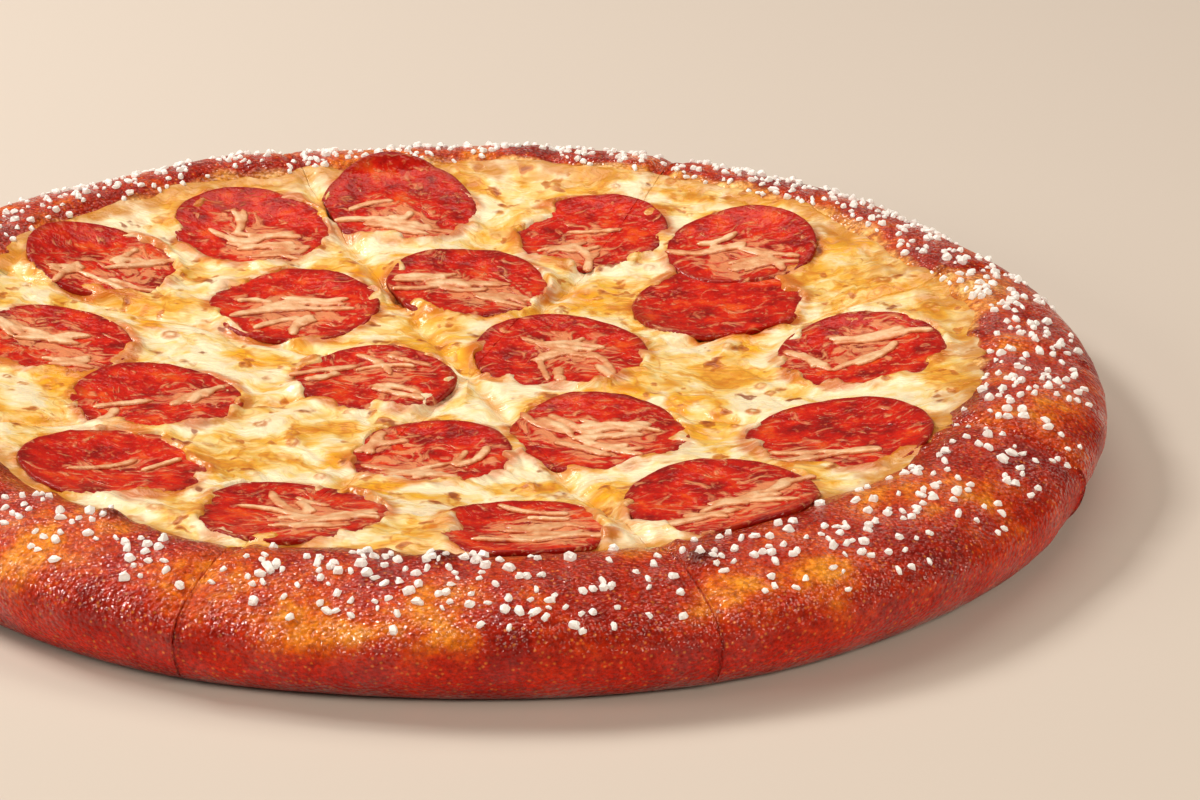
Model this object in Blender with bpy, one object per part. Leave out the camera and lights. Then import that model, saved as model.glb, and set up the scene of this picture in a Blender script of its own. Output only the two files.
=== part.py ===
"""A large round pepperoni pizza with a salted pretzel crust, cut across four times into eight slices.

Each slice is one dough solid with its raised crust and its salt, and one sheet of melted cheese.
The pepperoni lie on the cheese, and a cut that passes through one divides it.
The origin is at the centre of the flat base, +Z is up, and -Y is the side nearest the viewer.
"""

import math
import random

import bmesh
import bpy
from mathutils import Matrix, Vector
from mathutils.bvhtree import BVHTree

MM = 0.001

# Whole pizza
RIM_RADIUS = 178 * MM
BORDER_RADIUS = 143 * MM  # where the cheese stops and the bare crust starts
FLAT_RADIUS = 60 * MM  # inside this the cheese lies flat
BASE_RADIUS = 167.5 * MM  # the flat underside
FLAT_HEIGHT = 15.2 * MM
BORDER_HEIGHT = 23.8 * MM
CUT_ANGLES = (20.5, 66.5, 110.0, 156.0)  # degrees, four cuts right across
KERF = 0.8 * MM
GAP = 0.3 * MM

# Crust section: ellipse quarters under the widest point, above it, and down to the cheese
WIDEST_HEIGHT = 15.5 * MM
CREST_HEIGHT = 28.2 * MM
CREST_RADIUS = 152 * MM

# Cheese
CHEESE_THICKNESS = 4.2 * MM
CHEESE_EDGE = 0.9 * MM
TAPER_START = 106 * MM

# Unevenness: (order, size, phase in degrees) around the pizza
OUT_OF_ROUND = ((2, 2.3 * MM, -95), (3, 2.2 * MM, 50), (4, 3.4 * MM, -158), (5, 1.9 * MM, 14))
BORDER_WAVES = ((1, 8.5 * MM, 118), (2, 2.2 * MM, 48), (9, 1.3 * MM, 40), (14, 1.1 * MM, 200))
PINCH_DEPTH = 2.2 * MM
PINCH_WIDTH = 5.5 * MM
# Lumps on the top: (waves per metre along x, along y, phase, height)
LUMPS = ((9.0, 5.0, 0.4, 0.5 * MM), (-4.0, 11.0, 2.1, 0.45 * MM), (14.0, -9.0, 4.0, 0.3 * MM))
CHEESE_LUMPS = ((27.0, 13.0, 1.3, 0.3 * MM), (-16.0, 31.0, 0.2, 0.3 * MM))
CHEESE_LUMP_BASE = 0.6 * MM

# Stations of the mesh
DOUGH_RINGS = (32 * MM, 60 * MM, 88 * MM, 110 * MM, 128 * MM)
CHEESE_RINGS = (21 * MM, 42 * MM, 62 * MM, 81 * MM, 99 * MM, 115 * MM, 130 * MM)
SLICE_COLUMNS = 9
INNER_STEPS = 2
OUTER_STEPS = 5
UNDER_STEPS = 3

# Pepperoni: (x, y, diameter) in millimetres
PEPPERONI = (
    (-108.5, 73.5, 45),
    (-66.0, 104.5, 48),
    (-51.0, 51.0, 50),
    (-21.0, 122.5, 48),
    (-117.0, 14.5, 45),
    (-85.5, -21.5, 48),
    (-93.0, -72.0, 50),
    (-45.0, -104.0, 50),
    (-26.0, -4.0, 45),
    (0.0, 67.0, 49),
    (37.5, 104.5, 47),
    (26.5, 13.5, 50),
    (73.5, 50.5, 51),
    (82.5, 86.0, 46),
    (111.5, 6.5, 48),
    (100.0, -54.5, 51),
    (35.5, -43.0, 50),
    (-10.0, -56.0, 44),
    (14.5, -115.0, 45),
    (65.5, -97.5, 51),
)
TUCKED_UNDER = {13: 14}  # the first is covered by the second where they meet
PEPPERONI_THICKNESS = 1.7 * MM
PEPPERONI_CUP = 0.9 * MM  # how far the edge curls up
PEPPERONI_SIDES = 16
LEAST_PIECE = 60 * MM * MM  # a smaller offcut is lost in the cheese

# Salt
SALT_SEED = 7
SALT_SCATTERED = 480
SALT_FUSED = 265
SALT_LENGTH = (2.2 * MM, 3.5 * MM)
SALT_SUNK = 0.3  # share of a grain's height that is below the crust
SALT_RADIUS = 162 * MM  # the scatter is thickest at this radius
SALT_SPREAD = 8.5 * MM
SALT_MARGIN = 3 * MM
SALT_CLUMPED = 0.4
SALT_CLUMP_REACH = 5 * MM
SALT_APART = 2.8 * MM
SALT_CLEAR_OF_CUT = 3.0 * MM

DOUGH_COLOUR = (0.34, 0.05, 0.02)
CHEESE_COLOUR = (0.87, 0.67, 0.32)
PEPPERONI_COLOUR = (0.52, 0.02, 0.01)


def remove_everything():
    for obj in list(bpy.data.objects):
        bpy.data.objects.remove(obj)


def make_material(name, colour, roughness):
    material = bpy.data.materials.new(name)
    material.use_nodes = True
    shader = material.node_tree.nodes["Principled BSDF"]
    shader.inputs["Base Color"].default_value = (*colour, 1)
    shader.inputs["Roughness"].default_value = roughness
    shader.inputs["Metallic"].default_value = 0
    return material


def smoothstep(t):
    t = min(max(t, 0.0), 1.0)
    return t * t * (3 - 2 * t)


def waves(table, angle):
    """Sum of slow waves around the pizza."""
    return sum(size * math.cos(order * angle - math.radians(phase)) for order, size, phase in table)


def lumps(table, x, y):
    return sum(size * math.sin(math.tau * (u * x + v * y) + phase) for u, v, phase, size in table)


def outer_point(t):
    """(radius, height) on the crust's outer side: the widest point at t 0, the crest at t 1."""
    radius = CREST_RADIUS + (RIM_RADIUS - CREST_RADIUS) * math.cos(t * math.pi / 2)
    height = WIDEST_HEIGHT + (CREST_HEIGHT - WIDEST_HEIGHT) * math.sin(t * math.pi / 2)
    return radius, height


def inner_point(t):
    """(radius, height) on the crust's inner side: the cheese's border at t 0, the crest at t 1."""
    radius = CREST_RADIUS + (BORDER_RADIUS - CREST_RADIUS) * math.cos(t * math.pi / 2)
    height = BORDER_HEIGHT + (CREST_HEIGHT - BORDER_HEIGHT) * math.sin(t * math.pi / 2)
    return radius, height


def under_point(t):
    """(radius, height) under the widest point: the widest point at t 0, the flat base at t 1."""
    radius = BASE_RADIUS + (RIM_RADIUS - BASE_RADIUS) * math.cos(t * math.pi / 2)
    height = WIDEST_HEIGHT * (1 - math.sin(t * math.pi / 2))
    return radius, height


def cheese_height(radius):
    """Top of the cheese at a nominal radius: flat, then a gentle dish up to the crust."""
    dish = max((radius - FLAT_RADIUS) / (BORDER_RADIUS - FLAT_RADIUS), 0.0)
    return FLAT_HEIGHT + (BORDER_HEIGHT - FLAT_HEIGHT) * dish**2


def cheese_thickness(radius):
    taper = (radius - TAPER_START) / (BORDER_RADIUS - TAPER_START)
    return CHEESE_THICKNESS + (CHEESE_EDGE - CHEESE_THICKNESS) * min(max(taper, 0.0), 1.0)


def cheese_underside(radius):
    return cheese_height(radius) - cheese_thickness(radius)


def dough_section():
    """The slice's section from the centre out over the crust and back under it."""
    top = [(r, cheese_underside(r) - GAP) for r in (0.0, *DOUGH_RINGS, BORDER_RADIUS)]
    inner = [inner_point(k / INNER_STEPS) for k in range(1, INNER_STEPS)]
    outer = [outer_point(1 - k / OUTER_STEPS) for k in range(OUTER_STEPS + 1)]
    under = [under_point(k / UNDER_STEPS) for k in range(1, UNDER_STEPS + 1)]
    return top + inner + outer + under + [(0.0, 0.0)]


def cheese_section():
    """The cheese's section: its underside follows the dough at one gap, its top is finer."""
    under = [(r, cheese_underside(r)) for r in (0.0, *DOUGH_RINGS, BORDER_RADIUS)]
    top = [(r, cheese_height(r)) for r in (BORDER_RADIUS, *reversed(CHEESE_RINGS), 0.0)]
    return under + top


class Wedge:
    """One slice's place between two neighbouring cuts."""

    def __init__(self, start, end):
        self.start, self.end = math.radians(start), math.radians(end)
        self.middle = (self.start + self.end) / 2
        self.half = (self.end - self.start) / 2
        toward = Vector((math.cos(self.middle), math.sin(self.middle), 0))
        self.shift = toward * (KERF / 2 / math.sin(self.half))

    def planes(self):
        """(point, outward normal) of the two cut faces."""
        first = Vector((math.sin(self.start), -math.cos(self.start), 0))
        second = Vector((-math.sin(self.end), math.cos(self.end), 0))
        return (self.shift, first), (self.shift, second)

    def depth(self, x, y):
        """How far a point is inside the nearer cut face."""
        return min(-(Vector((x, y, 0)) - point).dot(normal) for point, normal in self.planes())

    def place(self, radius, angle):
        """The real (x, y) of a nominal radius and angle, with the pizza's unevenness."""
        rim = waves(OUT_OF_ROUND, angle) * (radius / RIM_RADIUS) ** 2
        reach = (radius - FLAT_RADIUS) / (RIM_RADIUS - FLAT_RADIUS)
        border = waves(BORDER_WAVES, angle) * math.sin(math.pi * min(max(reach, 0.0), 1.0))
        real = radius + rim + border
        return self.shift.x + real * math.cos(angle), self.shift.y + real * math.sin(angle)


def wedges():
    angles = [a + turn for turn in (0, 180, 360) for a in CUT_ANGLES][:9]
    return [Wedge(a, b) for a, b in zip(angles, angles[1:])]


def eased(share):
    """Moves the columns of a slice towards its two cut faces, where the crust is pinched."""
    return share - 0.09 * math.sin(math.tau * share)


def swept_section(section, wedge):
    """A section in the XZ plane spun through the slice's angle and capped at both cuts."""
    bm = bmesh.new()
    loop = [bm.verts.new((r, 0, z)) for r, z in section]
    edges = [bm.edges.new((a, b)) for a, b in zip(loop, loop[1:] + loop[:1])]
    bm.faces.new(loop)
    spun = bmesh.ops.spin(
        bm,
        geom=edges,
        axis=(0, 0, 1),
        cent=(0, 0, 0),
        angle=2 * wedge.half,
        steps=SLICE_COLUMNS,
        use_duplicate=False,
    )
    last = [g for g in spun["geom_last"] if isinstance(g, bmesh.types.BMEdge)]
    bmesh.ops.contextual_create(bm, geom=last)
    bmesh.ops.remove_doubles(bm, verts=bm.verts, dist=1e-6)
    bmesh.ops.recalc_face_normals(bm, faces=bm.faces)
    return bm


def shape_slice(bm, wedge, extra_lumps=None):
    """Moves a swept section's points to their real place, with lumps and the pinch at the cuts."""
    for vert in bm.verts:
        radius = math.hypot(vert.co.x, vert.co.y)
        share = math.atan2(vert.co.y, vert.co.x) / (2 * wedge.half) if radius > 1e-7 else 0.5
        angle = wedge.start + 2 * wedge.half * eased(share)
        x, y = wedge.place(radius, angle) if radius > 1e-7 else wedge.shift.xy
        height = vert.co.z
        raised = smoothstep(height / (6 * MM))
        near_cut = max(wedge.depth(x, y), 0.0) / PINCH_WIDTH
        crusty = smoothstep((radius - TAPER_START) / (BORDER_RADIUS - TAPER_START))
        pinch = PINCH_DEPTH * crusty * math.exp(-near_cut * near_cut) * height / CREST_HEIGHT
        height += raised * (lumps(LUMPS, x, y) - pinch)
        if extra_lumps and vert.co.z > cheese_height(radius) - 1e-6:
            inside = smoothstep((BORDER_RADIUS - radius) / (25 * MM))
            height += inside * (CHEESE_LUMP_BASE + lumps(extra_lumps, x, y))
        vert.co = (x, y, height)


def add_object(name, bm, material):
    bmesh.ops.triangulate(bm, faces=bm.faces)
    mesh = bpy.data.meshes.new(name)
    bm.to_mesh(mesh)
    bm.free()
    mesh.shade_smooth()
    mesh.set_sharp_from_angle(angle=math.radians(50))
    mesh.materials.append(material)
    obj = bpy.data.objects.new(name, mesh)
    bpy.context.scene.collection.objects.link(obj)
    return obj


def tree_of(obj):
    bm = bmesh.new()
    bm.from_mesh(obj.data)
    bm.transform(obj.matrix_world)
    tree = BVHTree.FromBMesh(bm)
    bm.free()
    return tree


def drop_on(tree, x, y):
    """(point, normal) where something dropped at x, y lands."""
    point, normal, _, _ = tree.ray_cast(Vector((x, y, 0.1)), Vector((0, 0, -1)))
    return point, normal


def disc(diameter):
    """A pepperoni before it is laid down: a flat disc with a ring of points inside its edge."""
    bm = bmesh.new()
    bmesh.ops.create_circle(
        bm, cap_ends=True, cap_tris=True, segments=PEPPERONI_SIDES, radius=diameter / 2
    )
    spokes = [e for e in bm.edges if not e.is_boundary]
    bmesh.ops.subdivide_edges(bm, edges=spokes, cuts=1, use_grid_fill=False)
    raised = bmesh.ops.extrude_face_region(bm, geom=list(bm.faces))
    top = [g for g in raised["geom"] if isinstance(g, bmesh.types.BMVert)]
    bmesh.ops.translate(bm, verts=top, vec=(0, 0, PEPPERONI_THICKNESS))
    bmesh.ops.recalc_face_normals(bm, faces=bm.faces)
    return bm


def keep_inside(bm, wedge):
    """Cuts a solid with the slice's two faces and closes it."""
    for point, normal in wedge.planes():
        geometry = [*bm.verts, *bm.edges, *bm.faces]
        cut = bmesh.ops.bisect_plane(
            bm, geom=geometry, dist=1e-5, plane_co=point, plane_no=normal, clear_outer=True
        )
        edges = [g for g in cut["geom_cut"] if isinstance(g, bmesh.types.BMEdge)]
        if edges:
            bmesh.ops.contextual_create(bm, geom=edges)


def loose_object(name, bm):
    mesh = bpy.data.meshes.new(name)
    bm.to_mesh(mesh)
    bm.free()
    return bpy.data.objects.new(name, mesh)


def apply_boolean(obj, others, operation):
    """Joins the others to an object, or cuts them from it, in one step, and removes them."""
    collection = bpy.data.collections.new(obj.name + "_others")
    bpy.context.scene.collection.children.link(collection)
    for other in others:
        collection.objects.link(other)
    boolean = obj.modifiers.new("boolean", "BOOLEAN")
    boolean.operation = operation
    boolean.operand_type = "COLLECTION"
    boolean.collection = collection
    boolean.solver = "EXACT"
    bpy.context.view_layer.update()
    evaluated = obj.evaluated_get(bpy.context.evaluated_depsgraph_get())
    result = bpy.data.meshes.new_from_object(evaluated)
    obj.modifiers.clear()
    obj.data = result
    for other in others:
        bpy.data.objects.remove(other)
    bpy.data.collections.remove(collection)


def without_cover(bm, row):
    """A disc without the part that the pepperoni of another row covers."""
    x, y, diameter = (value * MM for value in row)
    shape = bmesh.new()
    radius = diameter / 2 + 2 * GAP
    bmesh.ops.create_cone(
        shape, cap_ends=True, segments=PEPPERONI_SIDES, radius1=radius, radius2=radius, depth=20 * MM
    )
    bmesh.ops.translate(shape, verts=shape.verts, vec=(x, y, 0))
    piece = loose_object("covered", bm)
    bpy.context.scene.collection.objects.link(piece)
    apply_boolean(piece, [loose_object("cover", shape)], "DIFFERENCE")
    left = bmesh.new()
    left.from_mesh(piece.data)
    bpy.data.objects.remove(piece)
    return left


def footprint(bm):
    """Area of a pepperoni piece seen from above."""
    return sum(f.calc_area() for f in bm.faces if f.normal.z > 0.5)


def ground_under(tree, point):
    """Highest cheese or crust within a millimetre, so that a point over a cut finds its edge."""
    around = ((0, 0), (MM, 0), (-MM, 0), (0, MM), (0, -MM))
    hits = (drop_on(tree, point.x + dx, point.y + dy)[0] for dx, dy in around)
    return max(hit.z for hit in hits if hit)


def settle(bm, tree, centre, radius):
    """Lays a piece on the cheese, a gap above it, with its edge curled up."""
    bmesh.ops.triangulate(bm, faces=bm.faces)
    for vert in bm.verts:
        out = math.hypot(vert.co.x - centre.x, vert.co.y - centre.y) / radius
        vert.co.z += ground_under(tree, vert.co) + PEPPERONI_CUP * out**3
    undersides = [f.calc_center_median() for f in bm.faces if f.normal.z < -0.5]
    undersides += [e.verts[0].co.lerp(e.verts[1].co, 0.5) for e in bm.edges]
    sunk = max(ground_under(tree, point) - point.z for point in undersides)
    bmesh.ops.translate(bm, verts=bm.verts, vec=(0, 0, max(sunk, 0) + GAP))


def make_pepperoni(number, row, slices, tree, material):
    """Every piece of one pepperoni, one for each slice that it lies on."""
    x, y, diameter = (value * MM for value in row)
    for index, wedge in enumerate(slices):
        bm = disc(diameter)
        bmesh.ops.translate(bm, verts=bm.verts, vec=(x, y, 0))
        if number in TUCKED_UNDER:
            bm = without_cover(bm, PEPPERONI[TUCKED_UNDER[number] - 1])
        keep_inside(bm, wedge)
        if footprint(bm) < LEAST_PIECE:
            bm.free()
            continue
        settle(bm, tree, Vector((x, y, 0)), diameter / 2)
        bmesh.ops.translate(bm, verts=bm.verts, vec=(-x, -y, 0))
        piece = add_object(f"pepperoni_{number:02d}_slice_{index + 1}", bm, material)
        piece.location = (x, y, 0)


def salt_density(angle):
    """Share of the densest scatter at this angle: thick on the far right, thin at the near left."""
    return 0.8 + 0.18 * math.sin(angle + math.radians(20))


def salt_grains():
    """(nominal radius, angle, length, width share, turn) of each grain, largest first."""
    draw = random.Random(SALT_SEED)
    inner, outer = BORDER_RADIUS + SALT_MARGIN, RIM_RADIUS - SALT_MARGIN
    grains = []
    while len(grains) < SALT_SCATTERED:
        angle = draw.uniform(0, math.tau)
        if draw.random() > salt_density(angle):
            continue
        radius = draw.gauss(SALT_RADIUS, SALT_SPREAD)
        if grains and draw.random() < SALT_CLUMPED:
            radius = grains[-1][0] + draw.uniform(-1, 1) * SALT_CLUMP_REACH
            angle = grains[-1][1] + draw.uniform(-1, 1) * SALT_CLUMP_REACH / RIM_RADIUS
        length = draw.uniform(*SALT_LENGTH)
        grain = (radius, angle, length, draw.uniform(0.6, 0.95), draw.uniform(0, math.tau))
        if inner < radius < outer and all(grain_distance(grain, other) > SALT_APART for other in grains):
            grains.append(grain)
    return sorted(grains, key=lambda grain: -grain[2] * grain[3])


def grain_distance(grain, other):
    turn = math.remainder(grain[1] - other[1], math.tau)
    return math.hypot(grain[0] - other[0], turn * RIM_RADIUS)


def make_grain(name, point, normal, length, width_share, turn):
    """One crystal: a tapered block that stands along the crust's normal."""
    width = length * width_share
    height = width * 0.8
    bm = bmesh.new()
    bmesh.ops.create_cube(bm, size=1)
    for vert in bm.verts:
        taper = 0.72 if vert.co.z > 0 else 1.0
        vert.co.x *= length * taper
        vert.co.y *= width * taper
        vert.co.z = (vert.co.z + 0.5 - SALT_SUNK) * height
    upright = normal.to_track_quat("Z", "X").to_matrix().to_4x4()
    bm.transform(Matrix.Translation(point) @ upright @ Matrix.Rotation(turn, 4, "Z"))
    return loose_object(name, bm)


def under_pepperoni(x, y):
    """Whether a grain at x, y would touch a pepperoni that reaches onto the crust."""
    return any(
        math.hypot(x - px * MM, y - py * MM) < diameter / 2 * MM + SALT_CLEAR_OF_CUT
        for px, py, diameter in PEPPERONI
    )


def salt_slice(obj, wedge, grains):
    """Fuses every grain of the list that falls well inside this slice and clear of the pepperoni."""
    tree = tree_of(obj)
    made = []
    for radius, angle, length, width_share, turn in grains:
        inside = (angle - wedge.start) % math.tau < 2 * wedge.half
        x, y = wedge.place(radius, angle)
        if not inside or wedge.depth(x, y) < SALT_CLEAR_OF_CUT or under_pepperoni(x, y):
            continue
        point, normal = drop_on(tree, x, y)
        if point:
            made.append(make_grain(f"grain_{len(made)}", point, normal, length, width_share, turn))
    if made:
        apply_boolean(obj, made, "UNION")


def main():
    remove_everything()
    dough = make_material("pretzel_crust", DOUGH_COLOUR, 0.35)
    cheese = make_material("melted_cheese", CHEESE_COLOUR, 0.4)
    meat = make_material("pepperoni", PEPPERONI_COLOUR, 0.3)
    slices = wedges()
    grains = salt_grains()[:SALT_FUSED]

    ground = bmesh.new()
    crusts = []
    for number, wedge in enumerate(slices, 1):
        bm = swept_section(dough_section(), wedge)
        shape_slice(bm, wedge)
        crusts.append(add_object(f"crust_slice_{number}", bm, dough))
        ground.from_mesh(crusts[-1].data)
        bm = swept_section(cheese_section(), wedge)
        shape_slice(bm, wedge, CHEESE_LUMPS)
        layer = add_object(f"cheese_slice_{number}", bm, cheese)
        ground.from_mesh(layer.data)

    tree = BVHTree.FromBMesh(ground)
    ground.free()
    for number, row in enumerate(PEPPERONI, 1):
        make_pepperoni(number, row, slices, tree, meat)
    for crust, wedge in zip(crusts, slices):
        salt_slice(crust, wedge, grains)


main()
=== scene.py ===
import math
import random
from functools import partial

import bmesh
import bpy
from mathutils import Matrix, Vector, noise
from mathutils.bvhtree import BVHTree
from mathutils.kdtree import KDTree


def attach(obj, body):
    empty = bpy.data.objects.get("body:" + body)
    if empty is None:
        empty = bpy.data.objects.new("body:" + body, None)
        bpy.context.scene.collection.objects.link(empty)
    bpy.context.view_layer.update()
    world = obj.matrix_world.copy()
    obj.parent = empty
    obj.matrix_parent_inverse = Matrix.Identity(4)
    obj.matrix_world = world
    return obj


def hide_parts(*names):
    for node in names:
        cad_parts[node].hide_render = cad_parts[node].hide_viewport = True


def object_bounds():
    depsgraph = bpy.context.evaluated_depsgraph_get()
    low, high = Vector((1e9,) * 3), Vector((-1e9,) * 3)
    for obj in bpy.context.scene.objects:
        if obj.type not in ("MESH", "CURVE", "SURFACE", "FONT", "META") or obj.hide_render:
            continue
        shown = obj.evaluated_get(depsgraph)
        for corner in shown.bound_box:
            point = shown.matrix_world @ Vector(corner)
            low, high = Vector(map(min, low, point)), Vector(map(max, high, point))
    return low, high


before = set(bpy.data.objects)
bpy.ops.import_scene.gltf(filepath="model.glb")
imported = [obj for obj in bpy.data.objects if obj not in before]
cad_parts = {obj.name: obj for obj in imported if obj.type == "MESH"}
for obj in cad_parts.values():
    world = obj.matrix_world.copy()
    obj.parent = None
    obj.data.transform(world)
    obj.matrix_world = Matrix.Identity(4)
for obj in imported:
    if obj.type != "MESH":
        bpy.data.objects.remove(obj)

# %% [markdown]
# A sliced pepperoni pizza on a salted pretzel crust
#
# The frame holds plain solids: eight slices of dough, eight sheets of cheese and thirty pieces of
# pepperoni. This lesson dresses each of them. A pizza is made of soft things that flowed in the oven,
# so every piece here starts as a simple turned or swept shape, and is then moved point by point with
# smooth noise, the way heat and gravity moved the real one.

MM = 0.001
cad_low, cad_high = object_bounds()
print("solids span", [round(v / MM, 1) for v in cad_high - cad_low], "mm")

# %% [markdown]
# The camera
#
# A food photographer uses a long lens from a metre away, so that the far rim isn't much smaller than
# the near one. The far pepperoni look four fifths as wide as the near ones, which gives the distance,
# and their flatness gives the height of the view: about 23 degrees above the table.

# %% Camera
CAMERA_PLACE = (0.0, -1.006, 0.4374)
CAMERA_TURN = (66.897, -0.779, -1.792)  # degrees: tilt up from straight down, lean, and pan
LENS = 116.1  # mm, on the usual 36 mm wide sensor

camera_data = bpy.data.cameras.new("camera")
camera_data.lens = LENS
camera = bpy.data.objects.new("camera", camera_data)
camera.location = CAMERA_PLACE
camera.rotation_euler = [math.radians(a) for a in CAMERA_TURN]
bpy.context.scene.collection.objects.link(camera)
bpy.context.scene.camera = camera
print("camera is", round(camera.location.length, 3), "m from the middle of the pizza")

# %% [markdown]
# The studio
#
# Glossy crust shows its lights as broad soft streaks, so the lights are large and soft. The main one
# hangs on the left, so the shadow falls to the right. A wide strip right behind the pizza makes the band
# of gloss along the near crust, and two weaker warm lights keep the near side from going black.

# %% Floor, world and lights
FLOOR_COLOUR = (0.62, 0.57, 0.52, 1)
WORLD_COLOUR = (1.0, 0.84, 0.68, 1)
WORLD_STRENGTH = 0.12
# name: (place, width and height in metres, power in watts, colour)
LIGHTS = {
    "main_softbox": ((-1.05, 0.45, 1.15), (0.6, 0.4), 19, (1.0, 0.93, 0.84)),
    "back_strip": ((0.1, 0.85, 1.5), (1.6, 0.7), 12, (1.0, 0.86, 0.74)),
    "front_fill": ((0.75, -1.15, 0.9), (0.8, 0.5), 13, (1.0, 0.87, 0.72)),
    "left_fill": ((-1.3, -0.5, 0.6), (0.5, 0.5), 7, (1.0, 0.90, 0.78)),
}
AIM = Vector((0, 0, 0.01))

bm = bmesh.new()
bmesh.ops.create_grid(bm, x_segments=1, y_segments=1, size=6)
floor_mesh = bpy.data.meshes.new("floor")
bm.to_mesh(floor_mesh)
bm.free()
floor = bpy.data.objects.new("floor", floor_mesh)
bpy.context.scene.collection.objects.link(floor)
floor_paint = bpy.data.materials.new("matt_studio_paper")
floor_paint.use_nodes = True
floor_paint.node_tree.nodes["Principled BSDF"].inputs["Base Color"].default_value = FLOOR_COLOUR
floor_paint.node_tree.nodes["Principled BSDF"].inputs["Roughness"].default_value = 0.9
floor_mesh.materials.append(floor_paint)

world = bpy.data.worlds.new("studio_air")
world.use_nodes = True
world.node_tree.nodes["Background"].inputs["Color"].default_value = WORLD_COLOUR
world.node_tree.nodes["Background"].inputs["Strength"].default_value = WORLD_STRENGTH
bpy.context.scene.world = world

for name, (place, size, power, colour) in LIGHTS.items():
    lamp_data = bpy.data.lights.new(name, "AREA")
    lamp_data.shape = "RECTANGLE"
    lamp_data.size, lamp_data.size_y = size
    lamp_data.energy = power
    lamp_data.color = colour
    lamp = bpy.data.objects.new(name, lamp_data)
    lamp.location = place
    lamp.rotation_euler = (AIM - Vector(place)).to_track_quat("-Z", "Y").to_euler()
    bpy.context.scene.collection.objects.link(lamp)
bpy.context.scene.view_settings.view_transform = "Standard"
print("lights:", ", ".join(LIGHTS))

# %% [markdown]
# Helpers for finishes
#
# Each material below is a small network of nodes. One function adds a node, fills its sockets with
# numbers, colours or links, and hands it back, so that a network reads from top to bottom like a recipe.

# %% Colours and nodes


def hex_colour(code):
    """An sRGB hex colour such as C43A1E as the linear colour that a shader needs."""
    shares = [int(code[i : i + 2], 16) / 255 for i in (0, 2, 4)]
    return [c / 12.92 if c <= 0.04045 else ((c + 0.055) / 1.055) ** 2.4 for c in shares] + [1.0]


def plug(socket, value):
    """Puts a number, a vector, a hex colour or a link into a socket. A node gives its first output."""
    if isinstance(value, bpy.types.Node):
        value = next(output for output in value.outputs if output.enabled)
    if isinstance(value, bpy.types.NodeSocket):
        socket.id_data.links.new(value, socket)
    else:
        socket.default_value = hex_colour(value) if isinstance(value, str) else value


def add_node(tree, kind, *values, stops=(), **named):
    """Adds a node. Values fill its live sockets in order, and named ones are its sockets or settings.

    The stops of a colour ramp are pairs of a place and a hex colour.
    """
    node = tree.nodes.new("ShaderNode" + kind)
    for key, value in named.items():
        if key not in node.inputs:
            setattr(node, key, value)
    live = [socket for socket in node.inputs if socket.enabled]
    for socket, value in zip(live, values):
        plug(socket, value)
    for key, value in named.items():
        if key in node.inputs:
            plug(node.inputs[key], value)
    for index, (place, code) in enumerate(stops):
        if index > 1:
            node.color_ramp.elements.new(place)
        node.color_ramp.elements[index].position = place
        node.color_ramp.elements[index].color = hex_colour(code)
    return node


def new_material(name):
    """(material, a function that adds a node to it, object coordinates)"""
    material = bpy.data.materials.new(name)
    material.use_nodes = True
    add = partial(add_node, material.node_tree)
    return material, add, add("TexCoord").outputs["Object"]


def finish_shader(material, sockets):
    """Fills the sockets of the material's shader."""
    for name, value in sockets.items():
        plug(material.node_tree.nodes["Principled BSDF"].inputs[name], value)
    print("finish:", material.name, "with", len(material.node_tree.nodes), "nodes")


def per_mm(size):
    """Scale of a noise whose features are about this many millimetres across."""
    return 1 / (size * MM)


# %% [markdown]
# The form of the whole pizza
#
# A hand-stretched base is never a true circle. A few slow waves around it give the real outline, and
# the same waves move the crust, the cheese and the salt, so that everything stays together. Seen as a
# section, the crust is three quarters of an ellipse, and the cheese lies in a shallow dish inside it.

# %% Driving sizes, the same as the solids'
RIM_RADIUS = 178 * MM
BORDER_RADIUS = 143 * MM
FLAT_RADIUS = 60 * MM
BASE_RADIUS = 167.5 * MM
FLAT_HEIGHT = 15.2 * MM
BORDER_HEIGHT = 23.8 * MM
WIDEST_HEIGHT = 15.5 * MM
CREST_HEIGHT = 28.2 * MM
CREST_RADIUS = 152 * MM
CUT_ANGLES = (20.5, 66.5, 110.0, 156.0)
KERF = 0.8 * MM
OUT_OF_ROUND = ((2, 2.3 * MM, -95), (3, 2.2 * MM, 50), (4, 3.4 * MM, -158), (5, 1.9 * MM, 14))
BORDER_WAVES = ((1, 8.5 * MM, 118), (2, 2.2 * MM, 48), (9, 1.3 * MM, 40), (14, 1.1 * MM, 200))
LUMPS = ((9.0, 5.0, 0.4, 0.5 * MM), (-4.0, 11.0, 2.1, 0.45 * MM), (14.0, -9.0, 4.0, 0.3 * MM))

# %% Outline and height


def smoothstep(t):
    t = min(max(t, 0.0), 1.0)
    return t * t * (3 - 2 * t)


def bell(away):
    """One in the middle, falling away smoothly."""
    return math.exp(-away * away)


def bumps(point, size, seed=0.0):
    """Smooth noise from -1 to 1 with features of about this many millimetres."""
    return noise.noise(point / (size * MM) + Vector((seed, seed * 0.7, -seed)))


def waves(table, angle):
    return sum(size * math.cos(order * angle - math.radians(phase)) for order, size, phase in table)


def lumps(x, y):
    return sum(size * math.sin(math.tau * (u * x + v * y) + phase) for u, v, phase, size in LUMPS)


def swell(radius, angle):
    """How far the real outline stands outside a nominal radius."""
    rim = waves(OUT_OF_ROUND, angle) * (radius / RIM_RADIUS) ** 2
    reach = min(max((radius - FLAT_RADIUS) / (RIM_RADIUS - FLAT_RADIUS), 0.0), 1.0)
    return rim + waves(BORDER_WAVES, angle) * math.sin(math.pi * reach)


def nominal(x, y):
    """(nominal radius, angle) of a real point, found by stepping towards it."""
    real, angle = math.hypot(x, y), math.atan2(y, x)
    radius = real
    for _ in range(2):
        radius = real - swell(radius, angle)
    return radius, angle


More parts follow.
